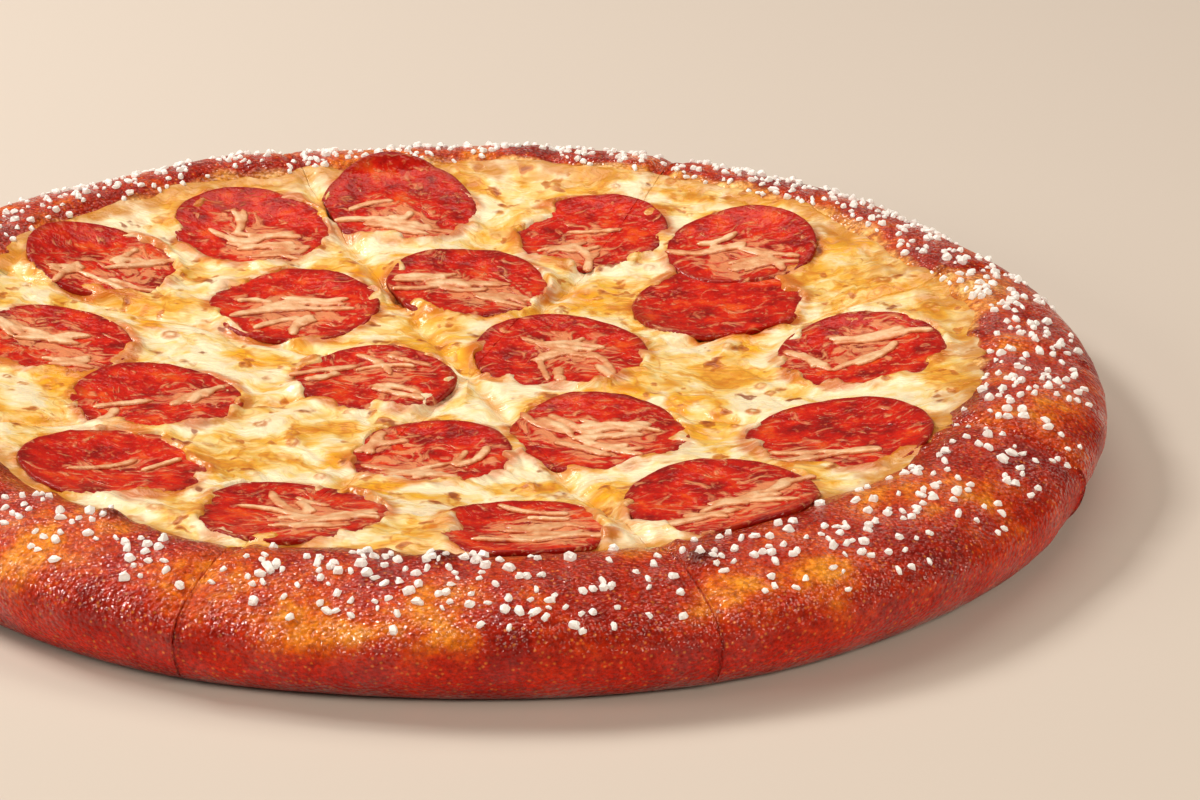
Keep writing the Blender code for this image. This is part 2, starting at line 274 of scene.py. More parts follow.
def dish(radius):
    """Height of the cheese at a nominal radius."""
    rise = max((radius - FLAT_RADIUS) / (BORDER_RADIUS - FLAT_RADIUS), 0.0)
    return FLAT_HEIGHT + (BORDER_HEIGHT - FLAT_HEIGHT) * rise**2


BREAD_START = 137 * MM  # inside this the bread is hidden under the cheese
FILM = 1.3 * MM  # thickness of the cheese where it runs out over the bread


def bread(radius):
    """Height of the crust's inner side, which swells up out of the cheese."""
    low = dish(min(radius, BORDER_RADIUS)) - FILM
    return low + (CREST_HEIGHT - low) * smoothstep((radius - BREAD_START) / (CREST_RADIUS - BREAD_START))


print("dish of the cheese:", round(dish(0) / MM, 1), "mm high in the middle; crest:", CREST_HEIGHT / MM)

# %% Where the cuts run


class Wedge:
    """One slice's place between two neighbouring cuts."""

    def __init__(self, start, end, kerf):
        self.start, self.end = math.radians(start), math.radians(end)
        self.half = (self.end - self.start) / 2
        middle = (self.start + self.end) / 2
        self.shift = Vector((math.cos(middle), math.sin(middle), 0)) * (kerf / 2 / math.sin(self.half))
        first = Vector((math.sin(self.start), -math.cos(self.start), 0))
        second = Vector((-math.sin(self.end), math.cos(self.end), 0))
        self.outward = (first, second)

    def depth(self, x, y):
        """How far a point is inside the nearer cut face."""
        px, py = x - self.shift.x, y - self.shift.y
        return min(-(px * n.x + py * n.y) for n in self.outward)

    def place(self, radius, angle):
        real = radius + swell(radius, angle)
        return self.shift.x + real * math.cos(angle), self.shift.y + real * math.sin(angle)

    def holds(self, angle):
        return (angle - self.start) % math.tau < 2 * self.half


def wedges(kerf):
    angles = [a + turn for turn in (0, 180, 360) for a in CUT_ANGLES][:9]
    return [Wedge(a, b, kerf) for a, b in zip(angles, angles[1:])]


SLICES = wedges(KERF)
print(len(SLICES), "slices of", [round(math.degrees(2 * w.half), 1) for w in SLICES], "degrees")

# %% Making and registering a piece
TINY = 1e-6  # metres: points closer than this are one


def add_piece(name, bm, material, nodes=()):
    """Turns a bmesh into a smooth-shaded piece on the one body, standing for the nodes it names."""
    mesh = bpy.data.meshes.new(name)
    bm.to_mesh(mesh)
    bm.free()
    mesh.shade_smooth()
    mesh.materials.append(material)
    piece = bpy.data.objects.new(name, mesh)
    bpy.context.scene.collection.objects.link(piece)
    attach(piece, "root")
    if nodes:
        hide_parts(*nodes)
    return piece


def swept_section(section, wedge, columns):
    """A section in the XZ plane spun through a slice's angle, capped at both cuts."""
    bm = bmesh.new()
    loop = [bm.verts.new((r, 0, z)) for r, z in section]
    edges = [bm.edges.new((a, b)) for a, b in zip(loop, loop[1:] + loop[:1])]
    bm.faces.new(loop)
    angle = 2 * wedge.half
    spun = bmesh.ops.spin(bm, geom=edges, axis=(0, 0, 1), cent=(0, 0, 0), angle=angle, steps=columns)
    last = [g for g in spun["geom_last"] if isinstance(g, bmesh.types.BMEdge)]
    bmesh.ops.contextual_create(bm, geom=last)
    bmesh.ops.remove_doubles(bm, verts=bm.verts, dist=TINY)
    bmesh.ops.recalc_face_normals(bm, faces=bm.faces)
    return bm


CROWDING = 0.09  # how strongly columns are drawn towards the cuts


def polar(vert, wedge):
    """(nominal radius, angle) of a point of a swept section, with columns drawn towards the cuts."""
    radius = math.hypot(vert.co.x, vert.co.y)
    share = math.atan2(vert.co.y, vert.co.x) / (2 * wedge.half) if radius > TINY / 10 else 0.5
    return radius, wedge.start + 2 * wedge.half * (share - CROWDING * math.sin(math.tau * share))


def back_share(angle):
    """One where the far rim is, nothing at the near rim. The cheese ran further up the far side."""
    return 0.5 + 0.5 * math.sin(angle + math.radians(20))


print("far and near rim:", [round(back_share(a), 2) for a in (math.pi / 2, -math.pi / 2)])

# %% [markdown]
# The pretzel crust
#
# Pretzel dough is dipped in lye before it is baked. That gives a thin, tight, glossy skin that goes
# red-brown, with thousands of tiny blisters. The skin is drawn in a little beside each cut, where the
# wheel pressed it, and at a few creases between the lobes of the rim. Fat blisters rise along its inner
# edge. The section is swept round each slice, and all that is big enough to see in outline is moved.

# %% Blisters on the crust
# fat blisters that show: (x, y, half width, height)
FAT_BLISTERS = [
    (-89.0 * MM, -119.0 * MM, 4.6 * MM, 2.6 * MM),
    (-7.0 * MM, -145.0 * MM, 4.6 * MM, 2.6 * MM),
    (57.0 * MM, -143.5 * MM, 4.4 * MM, 2.2 * MM),
]
SMALL_BLISTERS = 34
SMALL_BLISTER_SEED = 12


def small_blisters():
    """Small blisters strewn along the inner edge of the crust."""
    draw = random.Random(SMALL_BLISTER_SEED)
    made = []
    for _ in range(SMALL_BLISTERS):
        radius, angle = draw.uniform(144, 151) * MM, draw.uniform(0, math.tau)
        real = radius + swell(radius, angle)
        half_width = draw.uniform(1.4, 3.0) * MM
        made.append((real * math.cos(angle), real * math.sin(angle), half_width, half_width * 0.4))
    return made


BLISTERS = FAT_BLISTERS + small_blisters()


def blister(x, y):
    """(height, darkness) of the fat blisters at a point."""
    height, dark = 0.0, 0.0
    for bx, by, half_width, tall in BLISTERS:
        away = math.hypot(x - bx, y - by) / half_width
        if away < 2:
            height += tall * bell(away)
            dark = max(dark, smoothstep(1.5 - away) * min(tall / (1.5 * MM), 1))
    return height, dark


print(len(BLISTERS), "blisters, the fattest", round(max(tall for *_, tall in BLISTERS) / MM, 1), "mm high")

# %% Golden and bare places on the crust
# places where the skin stretched thin and stayed golden: (x, y, half width)
GOLDEN = (
    (-100 * MM, -128 * MM, 16 * MM),
    (-68 * MM, -150 * MM, 13 * MM),
    (-38 * MM, -165 * MM, 13 * MM),
    (-8 * MM, -171 * MM, 10 * MM),
    (88 * MM, -138 * MM, 13 * MM),
    (64 * MM, -156 * MM, 9 * MM),
    (142 * MM, 34 * MM, 17 * MM),
    (128 * MM, -98 * MM, 9 * MM),
    (-160 * MM, 40 * MM, 14 * MM),
    (-60 * MM, 158 * MM, 12 * MM),
)
# the one place on the rim where the bread shows through the skin: (x, y, half width)
THINNED = (140 * MM, 37 * MM, 16 * MM)


def golden(x, y, z):
    """Share of golden skin. The side below stays red."""
    near = sum(bell(math.hypot(x - gx, y - gy) / half) for gx, gy, half in GOLDEN)
    return min(near, 1) * smoothstep((z - 12 * MM) / (8 * MM))


def skinned_radius(x, y, angle):
    """Nominal radius from which the dough has pretzel skin. Inside it the bread is bare."""
    point = Vector((x, y, 0))
    wander = 3.5 * bumps(point, 12, 4) + 2 * bumps(point, 5, 6)
    return BORDER_RADIUS + (-3 + 11 * back_share(angle) + wander) * MM


def bare_share(x, y, radius, angle):
    """One where the bread is bare, nothing under the skin."""
    inside = skinned_radius(x, y, angle) - radius
    thinned = 0.9 * bell(math.hypot(x - THINNED[0], y - THINNED[1]) / THINNED[2])
    return max(smoothstep(inside / (6 * MM)), thinned)


print(len(GOLDEN), "golden places")

# %% Section and relief of the crust
CRUST_COLUMNS = 132
OUTER_STEPS = 40
UNDER_STEPS = 14
INNER_STEP = 0.9 * MM
HIDDEN_RADII = (45 * MM, 90 * MM, 118 * MM, 130 * MM)
HIDDEN_DEPTH = 4 * MM  # the dough under the cheese lies this much lower
KEPT_INSIDE = 0.65 * MM  # the skin is drawn in this much, so that no bump leaves the solid
PINCH_DEPTH = 1.3 * MM
PINCH_WIDTH = 3.0 * MM
# creases between lobes of the rim: (degrees, depth, half width)
CREASES = (
    (-2, 1.5 * MM, 3.2 * MM),
    (80, 1.6 * MM, 3 * MM),
    (67, 1.2 * MM, 3 * MM),
    (46, 0.8 * MM, 5 * MM),
    (133, 0.8 * MM, 4 * MM),
)


def crust_section():
    """The outline of the dough, from the axis over the rim and back along the base."""
    hidden = [(r, dish(r) - HIDDEN_DEPTH) for r in (0.0, *HIDDEN_RADII)]
    count = round((CREST_RADIUS - BREAD_START) / INNER_STEP)
    rise = [BREAD_START + (CREST_RADIUS - BREAD_START) * k / count for k in range(count)]
    section = hidden + [(r, bread(r)) for r in rise]
    for k in range(OUTER_STEPS + 1):
        t = (1 - k / OUTER_STEPS) * math.pi / 2
        radius = CREST_RADIUS + (RIM_RADIUS - CREST_RADIUS) * math.cos(t)
        section.append((radius, WIDEST_HEIGHT + (CREST_HEIGHT - WIDEST_HEIGHT) * math.sin(t)))
    for k in range(1, UNDER_STEPS + 1):
        t = k / UNDER_STEPS * math.pi / 2
        radius = BASE_RADIUS + (RIM_RADIUS - BASE_RADIUS) * math.cos(t)
        section.append((radius, WIDEST_HEIGHT * (1 - math.sin(t))))
    return section + [(120 * MM, 0.0), (60 * MM, 0.0), (0.0, 0.0)]


def crease_depth(angle):
    """How deep the creases between lobes are at an angle."""
    total = 0.0
    for degrees, depth, width in CREASES:
        total += depth * bell(math.remainder(angle - math.radians(degrees), math.tau) * RIM_RADIUS / width)
    return total


def crust_relief(point):
    """Lobes, then swellings, then the pebbling of the skin, all told a little inside the solid."""
    lobes = 0.7 * bumps(point, 26, 3) + 0.35 * bumps(point, 12, 6)
    risen = 0.30 * max(bumps(point, 6, 11), 0) ** 1.5
    pebbles = 0.13 * bumps(point, 3.0, 5) + 0.06 * bumps(point, 1.8, 8)
    return (lobes + risen + pebbles) * MM - KEPT_INSIDE


print("the section of the crust has", len(crust_section()), "points")


# %% Shape of one slice of crust
def make_crust(number, wedge, material):
    """The section spun through a slice, shaped to the outline, then pebbled along its own normals."""
    bm = swept_section(crust_section(), wedge, CRUST_COLUMNS)
    bare = bm.verts.layers.float.new("bare")
    burnt = bm.verts.layers.float.new("burnt")
    gilt = bm.verts.layers.float.new("golden")
    moving = {}
    for vert in bm.verts:
        radius, angle = polar(vert, wedge)
        x, y = wedge.place(radius, angle) if radius > TINY / 10 else wedge.shift.xy
        share = vert.co.z / CREST_HEIGHT
        raised = smoothstep(vert.co.z / (6 * MM))
        crusty = smoothstep((radius - 110 * MM) / (30 * MM))
        pinch = PINCH_DEPTH * bell(max(wedge.depth(x, y), 0.0) / PINCH_WIDTH) * share
        crease = crease_depth(angle) * share if radius > BORDER_RADIUS - 8 * MM else 0.0
        risen, dark = blister(x, y) if vert.co.z > 20 * MM else (0.0, 0.0)
        vert[bare] = bare_share(x, y, radius, angle) if share > 0.6 else 0.0
        near_cheese = smoothstep((BORDER_RADIUS + 13 * MM - radius) / (8 * MM)) if share > 0.6 else 0.0
        vert[burnt] = max(dark, 0.55 * near_cheese * (1 - back_share(angle)))
        vert[gilt] = golden(x, y, vert.co.z)
        moving[vert.index] = raised * crusty
        vert.co = (x, y, vert.co.z + raised * (lumps(x, y) + risen - crusty * (pinch + crease)))
    bm.normal_update()
    moves = [v.normal * (moving[v.index] * crust_relief(v.co)) for v in bm.verts]
    for vert, move in zip(bm.verts, moves):
        if wedge.depth(vert.co.x, vert.co.y) > 0.05 * MM:
            vert.co += move
    return add_piece(f"crust_{number}", bm, material, [f"crust_slice_{number}"])


# %% [markdown]
# The skin of the crust
#
# Lye-dipped dough, baked and brushed with butter. Its brown is deep and reddish low on the side, lighter
# and more orange where the dough stretched thin, and darker towards the base, where painted shade stands
# for the shadow at the floor. The inner slope had cheese and steam on it instead of lye, so it stays
# golden. Butter makes the skin shine, so the shader has a clear coat, and blisters a millimetre across
# break the shine into sparks.

# %% Material: buttered pretzel skin
BAKED_DOUGH_IOR = 1.45


def pretzel_brown(add, place):
    """(colour, blotches) of the skin. The low side stays red, and thin places turn golden."""
    golden_share = add("Attribute", attribute_name="golden").outputs["Fac"]
    uneven = add("TexNoise", place, per_mm(24), 4, 0.65)
    blotch = add("Math", golden_share, 0.17, uneven, operation="MULTIPLY_ADD")
    brown = add(
        "ValToRGB", blotch, stops=((0.38, "8C1204"), (0.51, "B02605"), (0.60, "C84A08"), (0.73, "EC9016"))
    )
    red = add("ValToRGB", blotch, stops=((0.35, "B01206"), (0.65, "DA2808")))
    upper = add("MapRange", add("SeparateXYZ", place).outputs["Z"], 9 * MM, 20 * MM)
    skin = add("Mix", upper, red, brown, data_type="RGBA")
    burnt = add("Attribute", attribute_name="burnt").outputs["Fac"]
    charred = add("MapRange", burnt, 0.1, 1.0, 0.0, 0.8)
    return add("Mix", charred, skin, "561608", data_type="RGBA"), blotch


def blister_tone_and_painted_glints(add, place, skin):
    """Skin with a pale dot on some blisters 1.5 mm apart, partly paler skin and partly painted highlight.
    """
    cells = add("TexVoronoi", place, per_mm(1.5))
    chosen = add("MapRange", cells.outputs["Color"], 0.45, 0.60)
    dot = add("MapRange", cells, 0.12, 0.36, 0.6, 0.0)
    # pale dots: partly the skin's own paler blisters, partly painted highlight
    pale_tone_and_painted_glint = add("Math", dot, chosen, operation="MULTIPLY")
    return add("Mix", pale_tone_and_painted_glint, skin, "EC8C3C", data_type="RGBA")


def buttered_pretzel_skin():
    material, add, place = new_material("buttered_pretzel_skin")
    skin, blotch = pretzel_brown(add, place)
    crumb = add("TexNoise", place, per_mm(6), 3, 0.6)
    dough = add("ValToRGB", crumb, stops=((0.36, "B8601C"), (0.50, "DA9440"), (0.64, "EFC27A")))
    bare = add("Attribute", attribute_name="bare").outputs["Fac"]
    ragged = add("Math", bare, add("MapRange", blotch, 0.3, 0.7, -0.2, 0.2), operation="ADD")
    bared = add("MapRange", ragged, 0.15, 0.9)
    skin = blister_tone_and_painted_glints(add, place, add("Mix", bared, skin, dough, data_type="RGBA"))
    mottle = add("MapRange", add("TexNoise", place, per_mm(1.5), 3, 0.75), 0.3, 0.7, 0.55, 1.35)
    # painted shade: darker towards the base, where the crust meets the floor; the mottle is its own tone
    painted_floor_shade = add("MapRange", add("SeparateXYZ", place).outputs["Z"], 0.0, 7 * MM, 0.35, 1.0)
    mottle_and_painted_shade = add("Math", mottle, painted_floor_shade, operation="MULTIPLY")
    pebble = add("TexVoronoi", place, per_mm(1.3))
    relief = add("Math", add("TexNoise", place, per_mm(2.4), 2, 0.6), pebble, operation="SUBTRACT")
    relief = add("Math", relief, add("MapRange", bared, 0.0, 1.0, 1.0, 0.4), operation="MULTIPLY")
    finish_shader(
        material,
        {
            "Base Color": add("VectorMath", skin, mottle_and_painted_shade, operation="SCALE"),
            "Roughness": add("MapRange", blotch, 0.3, 0.7, 0.30, 0.44),
            "Normal": add("Bump", Height=relief, Strength=1.0, Distance=0.5 * MM),
            "IOR": BAKED_DOUGH_IOR,
            "Specular IOR Level": 0.1,
            "Coat Weight": add("MapRange", add("TexNoise", place, per_mm(14)), 0.4, 0.6, 0.3, 0.9),
            "Coat Roughness": 0.05,
            "Coat Normal": add("Bump", Height=relief, Strength=1.0, Distance=0.65 * MM),
        },
    )
    return material


# %% Bake the crusts
skin = buttered_pretzel_skin()
crusts = [make_crust(number, wedge, skin) for number, wedge in enumerate(SLICES, 1)]
print("crust:", sum(len(c.data.polygons) for c in crusts), "faces")

# %% [markdown]
# The cheese
#
# Shredded mozzarella with some cheddar melts into one wrinkled sheet, thick in the middle and thin
# where it climbs the bread. The wheel leaves soft valleys, because the hot cheese runs together again.
# The sheet sinks under each pepperoni, and here and there it creeps over a rim. A polar grid follows
# the slice, and one height function shapes it, so the pepperoni can be laid with the same function.

# %% Pepperoni places: (x, y, diameter) in millimetres
PEPPERONI = (
    (-108.5, 73.5, 45),
    (-66.0, 104.5, 48),
    (-51.0, 51.0, 50),
    (-21.0, 122.5, 48),
    (-117.0, 14.5, 45),
    (-85.5, -21.5, 48),
    (-93.0, -72.0, 50),
    (-45.0, -104.0, 50),
    (-26.0, -4.0, 45),
    (0.0, 67.0, 49),
    (37.5, 104.5, 47),
    (26.5, 13.5, 50),
    (73.5, 50.5, 51),
    (82.5, 86.0, 46),
    (111.5, 6.5, 48),
    (100.0, -54.5, 51),
    (35.5, -43.0, 50),
    (-10.0, -56.0, 44),
    (14.5, -115.0, 45),
    (65.5, -97.5, 51),
)
DISCS = [(x * MM, y * MM, d / 2 * MM) for x, y, d in PEPPERONI]
print(len(DISCS), "pepperoni")

# %% Edge of the cheese, and the ground under what lies on it
CHEESE_BASE = 0.6 * MM
EDGE_REACH = 3.2 * MM  # how far the edge of the cheese wanders over the bread


def cheese_edge(angle):
    """Nominal radius at which the sheet runs out."""
    around = Vector((math.cos(angle), math.sin(angle), 0)) * BORDER_RADIUS
    wander = EDGE_REACH * (bumps(around, 13, 21) + 0.3 * bumps(around, 5, 2))
    return BORDER_RADIUS + (1.0 + 5.0 * back_share(angle)) * MM + wander


def ground(x, y):
    """Height of the cheese without its wrinkles, for whatever lies on it."""
    radius, _ = nominal(x, y)
    point = Vector((x, y, 0))
    swollen = 1.0 * bumps(point, 30, 40) * smoothstep((150 * MM - radius) / (40 * MM))
    return max(dish(radius), bread(radius)) + CHEESE_BASE + lumps(x, y) + swollen * MM


print("cheese runs out", round(cheese_edge(math.pi / 2) / MM), "mm from the middle at the back")


# %% Wrinkles of melted shreds
def wrinkles(x, y):
    """Melted shreds: ridges drawn out along a direction that wanders over the pizza."""
    point = Vector((x, y, 0))
    turn = 2.4 * bumps(point, 60, 7) + 0.5
    along = x * math.cos(turn) + y * math.sin(turn)
    across = y * math.cos(turn) - x * math.sin(turn)
    bend = 1.8 * MM * bumps(point, 9, 9)
    coarse = 1 - 2 * abs(noise.noise(Vector((along / (17 * MM), (across + bend) / (4.6 * MM), 1.5))))
    fine = 1 - 2 * abs(noise.noise(Vector((along / (12 * MM), (across + bend) / (2.3 * MM), 6.5))))
    drawn = smoothstep(0.5 + 1.2 * bumps(point, 26, 60))
    pools = bumps(point, 15, 15) + 0.5 * bumps(point, 7, 17)
    return (0.55 * drawn * coarse + 0.22 * fine + 0.95 * pools) * MM


print("in the middle they rise", round(wrinkles(0, 0) / MM, 2), "mm")

# %% Bubbles in the cheese
BUBBLES = 230
BUBBLE_SEED = 5
BUBBLE_REACH = 4.5 * MM


def bubble_tree():
    """Bubbles that rose through the sheet: their places in a tree, and their sizes."""
    draw = random.Random(BUBBLE_SEED)
    tree, sizes = KDTree(BUBBLES), []
    for index in range(BUBBLES):
        radius = (BORDER_RADIUS + 3 * MM) * draw.uniform(0.05, 1) ** 0.45
        angle = draw.uniform(0, math.tau)
        real = radius + swell(radius, angle)
        tree.insert((real * math.cos(angle), real * math.sin(angle), 0), index)
        sizes.append(draw.uniform(1.3, 3.4) * MM)
    tree.balance()
    return tree, sizes


bubbles, bubble_sizes = bubble_tree()


def bubble(x, y):
    """(height, toasting) of the bubbles at a point."""
    height, toasted = 0.0, 0.0
    for _, index, away in bubbles.find_range((x, y, 0), BUBBLE_REACH):
        share = away / bubble_sizes[index]
        height += bubble_sizes[index] * (0.36 * bell(share * 1.2) - 0.16 * bell(share * 2.6))
        toasted = max(toasted, bell((share - 0.55) / 0.45) * (0.4 + 0.6 * ((index * 37) % 11) / 10))
    return height, toasted


print(len(bubble_sizes), "bubbles, the widest", round(2 * max(bubble_sizes) / MM, 1), "mm across")

# %% Height of the whole sheet
VALLEY_DEPTH = 2.4 * MM
VALLEY_WIDTH = 2.8 * MM
COLLAR = 1.9 * MM  # the cheese stands up this much round a pepperoni
CREEP = 9.0 * MM  # and creeps this far over its rim in places
HOLLOW = 1.6 * MM  # the cheese lies this much lower under the meat


def nearest_disc(x, y):
    """Distance in metres outside the nearest pepperoni's edge, less than nothing under it."""
    return min(math.hypot(x - px, y - py) - half for px, py, half in DISCS)


def cheese_height(x, y, depth, risen):
    """Height of the sheet, with its wrinkles, its collars round the meat and the valleys of the cuts."""
    point = Vector((x, y, 0))
    outside = nearest_disc(x, y)
    creep = CREEP * max(bumps(point, 10, 70) + 0.1, 0) + 2.0 * MM * bumps(point, 4, 74)
    under = smoothstep((-outside - creep) / (2.0 * MM))
    collar = COLLAR * bell((outside + creep * 0.6) / (2.8 * MM)) * (0.6 + 0.8 * bumps(point, 10, 71))
    valley = VALLEY_DEPTH * (0.8 + 0.7 * bumps(point, 16, 72)) * bell(depth / VALLEY_WIDTH)
    return ground(x, y) + (1 - under) * (wrinkles(x, y) + collar + risen) - under * HOLLOW - valley


print("cheese is", round(cheese_height(0, 0, 0.0, 0.0) / MM, 1), "mm high where the cuts meet")

# %% Where the cheddar and the oil lie
# pools of cheddar: (x, y, half width) in millimetres
CHEDDAR = (
    (34, 61, 11), (-8, 18, 8), (-113, -12, 8), (-91, 33, 7), (112, 82, 10), (80, 22, 9), (44, -15, 8),
    (64, -43, 10), (33, -62, 9), (36, -86, 9), (-22, -82, 8), (21, -52, 7), (91, -71, 9), (-36, -60, 6),
    (-38, 120, 7), (-29, 73, 7), (62, -19, 6), (109, -43, 7), (-62, 12, 6), (12, 40, 7),
)


def cheddar_share(x, y):
    """One in a pool of cheddar, with a ragged outline, and a little of it elsewhere."""
    point = Vector((x, y, 0))
    wx = x + 7 * MM * bumps(point, 9, 80)
    wy = y + 7 * MM * bumps(point, 9, 81)
    near = max(bell(math.hypot(wx - px * MM, wy - py * MM) / (half * MM)) for px, py, half in CHEDDAR)
    return near + 0.55 * max(bumps(point, 13, 82) - 0.05, 0)


def patchy(x, y, seed):
    """Nothing in some places and one in others, a centimetre or so apart."""
    return smoothstep(0.5 + 1.3 * bumps(Vector((x, y, 0)), 11, seed))


def oil_share(x, y):
    """Orange fat gathers round the pepperoni."""
    return bell(max(nearest_disc(x, y), 0) / (3.0 * MM)) * (0.35 + 0.65 * patchy(x, y, 90))


def valley_share(x, y, depth):
    """Yellow fat gathers in hollows and where the wheel ran."""
    hollow = 0.7 * smoothstep(-wrinkles(x, y) / (1.0 * MM))
    return max(hollow, bell(depth / (3.0 * MM))) * (0.2 + 0.8 * patchy(x, y, 93))


print(len(CHEDDAR), "pools of cheddar")

# %% Shape of one slice of cheese
CHEESE_SLICES = wedges(0.12 * MM)
CHEESE_RINGS = 150
CHEESE_COLUMNS = 128
CHEESE_SUNK = 1.9 * MM  # the underside lies this deep in the bread, so that no gap shows at the edge
THINNEST = 0.3 * MM
LIP = 9 * MM  # the last stretch, over which the sheet thins out


def make_cheese(number, wedge, material):
    """A polar grid whose outer ring follows the wandering edge. Its section is one high at first."""
    rings = [k / CHEESE_RINGS for k in range(CHEESE_RINGS + 1)]
    under = [(r, 0.0) for r in (0.0, 0.35, 0.7, 0.9, 1.0)]
    top = [(r, 1.0) for r in reversed(rings)]
    bm = swept_section(under + top, wedge, CHEESE_COLUMNS)
    layers = {key: bm.verts.layers.float.new(key) for key in ("cheddar", "oil", "valley", "toast", "film")}
    for vert in bm.verts:
        share, angle = polar(vert, wedge)
        edge = cheese_edge(angle)
        radius = share * edge
        x, y = wedge.place(radius, angle) if share > TINY / 10 else wedge.shift.xy
        depth = max(wedge.depth(x, y), 0.0)
        risen, toasted = bubble(x, y)
        height = cheese_height(x, y, depth, risen)
        beneath = max(dish(radius), bread(radius)) + lumps(x, y) - CHEESE_SUNK
        if vert.co.z < 0.5:
            deeper = 3.0 * MM * smoothstep((edge - radius) / (25 * MM))
            vert.co = (x, y, min(beneath, height - THINNEST) - deeper)
            continue
        vert[layers["cheddar"]] = cheddar_share(x, y)
        vert[layers["oil"]] = oil_share(x, y)
        vert[layers["valley"]] = valley_share(x, y, depth)
        vert[layers["toast"]] = toasted
        vert[layers["film"]] = smoothstep(1 - (edge - radius) / ((9 + 13 * back_share(angle)) * MM))
        lip = min(max((edge - radius) / LIP, 0.0), 1.0)
        vert.co = (x, y, beneath + max(height - beneath, THINNEST) * lip**0.7)
    return add_piece(f"cheese_{number}", bm, material, [f"cheese_slice_{number}"])


# %% [markdown]
# The finish of the cheese
#
# Baked mozzarella is ivory with an oily shine, and light goes a little way into it. Cheddar shreds melt
# to orange pools, mostly beside the cuts where fat runs out. Thin bubbles toast to small brown rings,
# and the film on the bread browns all over.

# %% Material: baked mozzarella
FAT_IOR = 1.45
OILY_ROUGHNESS = 0.36


def melted_coordinates(add, place, size, detail, push, along):
    """(coordinates pushed about by slow noise, the same drawn out along X as melted shreds are)"""
    warp = add("TexNoise", place, per_mm(size), detail).outputs["Color"]
    pushed = add("VectorMath", warp, (push, push, push), place, operation="MULTIPLY_ADD")
    return pushed, add("Mapping", pushed, Scale=(along, 1.0, 1.0))


def cheese_colour(add, pool, streak):
    """Ivory mozzarella with pools of yellow cheddar."""
    mixed = add("Math", streak, 0.35, pool, operation="MULTIPLY_ADD")
    ivory = add(
        "ValToRGB", mixed, stops=((0.58, "F8EBC6"), (0.68, "F4D68A"), (0.78, "ECB23C"), (0.90, "D8861C"))
    )
    yellow = add("ValToRGB", streak, stops=((0.35, "E08404"), (0.50, "EEA408"), (0.68, "F4C22C")))
    cheddar = add("Attribute", attribute_name="cheddar").outputs["Fac"]
    pooled = add("Math", cheddar, add("MapRange", streak, 0.3, 0.7, -0.25, 0.25), operation="ADD")
    return add("Mix", add("MapRange", pooled, 0.35, 0.85, 0.0, 0.95), ivory, yellow, data_type="RGBA")


def oiled(add, colour, streak, pool, pushed):
    """Fat over the cheese: yellow in the valleys, orange round the meat, and fine veins of it."""
    for name, raggedness, low, high, top, stain in (
        ("valley", 0.25, 0.35, 1.0, 0.75, "E2981A"),
        ("oil", 0.2, 0.25, 0.95, 0.85, "C8600F"),
    ):
        share = add("Attribute", attribute_name=name).outputs["Fac"]
        ragged = add("MapRange", streak, 0.3, 0.7, -raggedness, raggedness)
        wet = add("MapRange", add("Math", share, ragged, operation="ADD"), low, high, 0.0, top)
        colour = add("Mix", wet, colour, stain, data_type="RGBA")
    off = add("Math", add("TexNoise", pushed, per_mm(9)), 0.5, operation="SUBTRACT")
    vein = add("MapRange", add("Math", off, operation="ABSOLUTE"), 0.0, 0.05, 0.7, 0.0)
    veined = add("Math", vein, add("MapRange", pool, 0.45, 0.6), operation="MULTIPLY")
    return add("Mix", veined, colour, "D07A1C", data_type="RGBA")


def toasted(add, place, colour, pool):
    """(colour with toasted spots and rings, their share)"""
    spots = add("TexNoise", place, per_mm(6.5))
    spotted = add("MapRange", spots, 0.605, 0.65)
    toast = add("Math", spotted, add("MapRange", pool, 0.40, 0.50), operation="MULTIPLY")
    rings = add("MapRange", add("Attribute", attribute_name="toast").outputs["Fac"], 0.4, 0.9)
    toast = add("Math", toast, rings, operation="MAXIMUM")
    colour = add("Mix", add("Math", toast, 0.88, operation="MULTIPLY"), colour, "C26A10", data_type="RGBA")
    scorched = add("MapRange", spots, 0.67, 0.72, 0.0, 0.85)
    return add("Mix", scorched, colour, "943F08", data_type="RGBA"), toast


def baked_mozzarella():
    material, add, place = new_material("baked_mozzarella")
    pushed, drawn = melted_coordinates(add, place, 16, 2, 0.020, 0.3)
    streak = add("TexNoise", drawn, per_mm(3.6), 3, 0.6)
    pool = add("TexNoise", pushed, per_mm(17), 3, 0.55)
    colour = oiled(add, cheese_colour(add, pool, streak), streak, pool, pushed)
    colour, toast = toasted(add, place, colour, pool)
    patches = add("MapRange", add("TexNoise", place, per_mm(7), 3), 0.35, 0.65, -0.45, 0.35)
    film = add("Math", add("Attribute", attribute_name="film").outputs["Fac"], patches, operation="ADD")
    browned = add("MapRange", film, 0.2, 1.0, 0.0, 0.85)
    relief = add("Math", add("TexNoise", drawn, per_mm(1.5), 3), 0.6, streak, operation="MULTIPLY_ADD")
    relief = add("Math", toast, -0.3, relief, operation="MULTIPLY_ADD")
    bump = add("Bump", Height=relief, Strength=0.6, Distance=0.7 * MM)
    finish_shader(
        material,
        {
            "Base Color": add("Mix", browned, colour, "C8801A", data_type="RGBA"),
            "Normal": bump,
            "Specular IOR Level": 0.3,
            "Roughness": OILY_ROUGHNESS,
            "IOR": FAT_IOR,
            "Subsurface Weight": 0.15,
            "Subsurface Radius": (1.0, 0.6, 0.3),
            "Subsurface Scale": 2.0 * MM,
            "Coat Weight": 0.45,
            "Coat Roughness": 0.08,
            "Coat Normal": bump,
        },
    )
    return material


# %% Melt the cheese
melted = baked_mozzarella()
cheeses = [make_cheese(number, wedge, melted) for number, wedge in enumerate(CHEESE_SLICES, 1)]
print("cheese:", sum(len(c.data.polygons) for c in cheeses), "faces")

